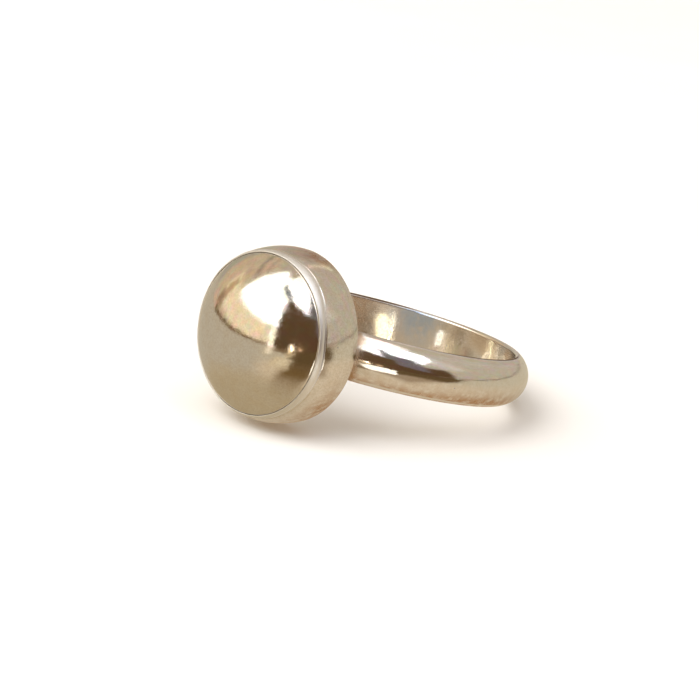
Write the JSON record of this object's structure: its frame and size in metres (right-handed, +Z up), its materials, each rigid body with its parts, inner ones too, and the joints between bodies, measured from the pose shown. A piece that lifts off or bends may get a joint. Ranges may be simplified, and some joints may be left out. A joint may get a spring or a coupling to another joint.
{
  "type": "cabochon ring",
  "caption": "Finger ring with a half-round shank soldered to a round bezel that holds a domed, polished metal cabochon.",
  "frame": {"origin": "on the surface that the ring lies on, under the middle of its bounding box", "axes": "+Z up from the surface; the cabochon faces -Y and a little up; +Y runs from the setting to the far side of the band, the longest way across; the finger axis leans 12.4 degrees from +Z towards +Y"},
  "size_m": [0.0196, 0.0238, 0.011],
  "materials": {
    "mount_silver": "silver, mirror polished outside with fine wear, burnished along the inside of the band",
    "cabochon_metal": "mirror-polished metal dome with faint wear"
  },
  "bodies": {
    "root": {"ring_mount": "mount_silver", "cabochon": "cabochon_metal"}
  },
  "joints": []
}
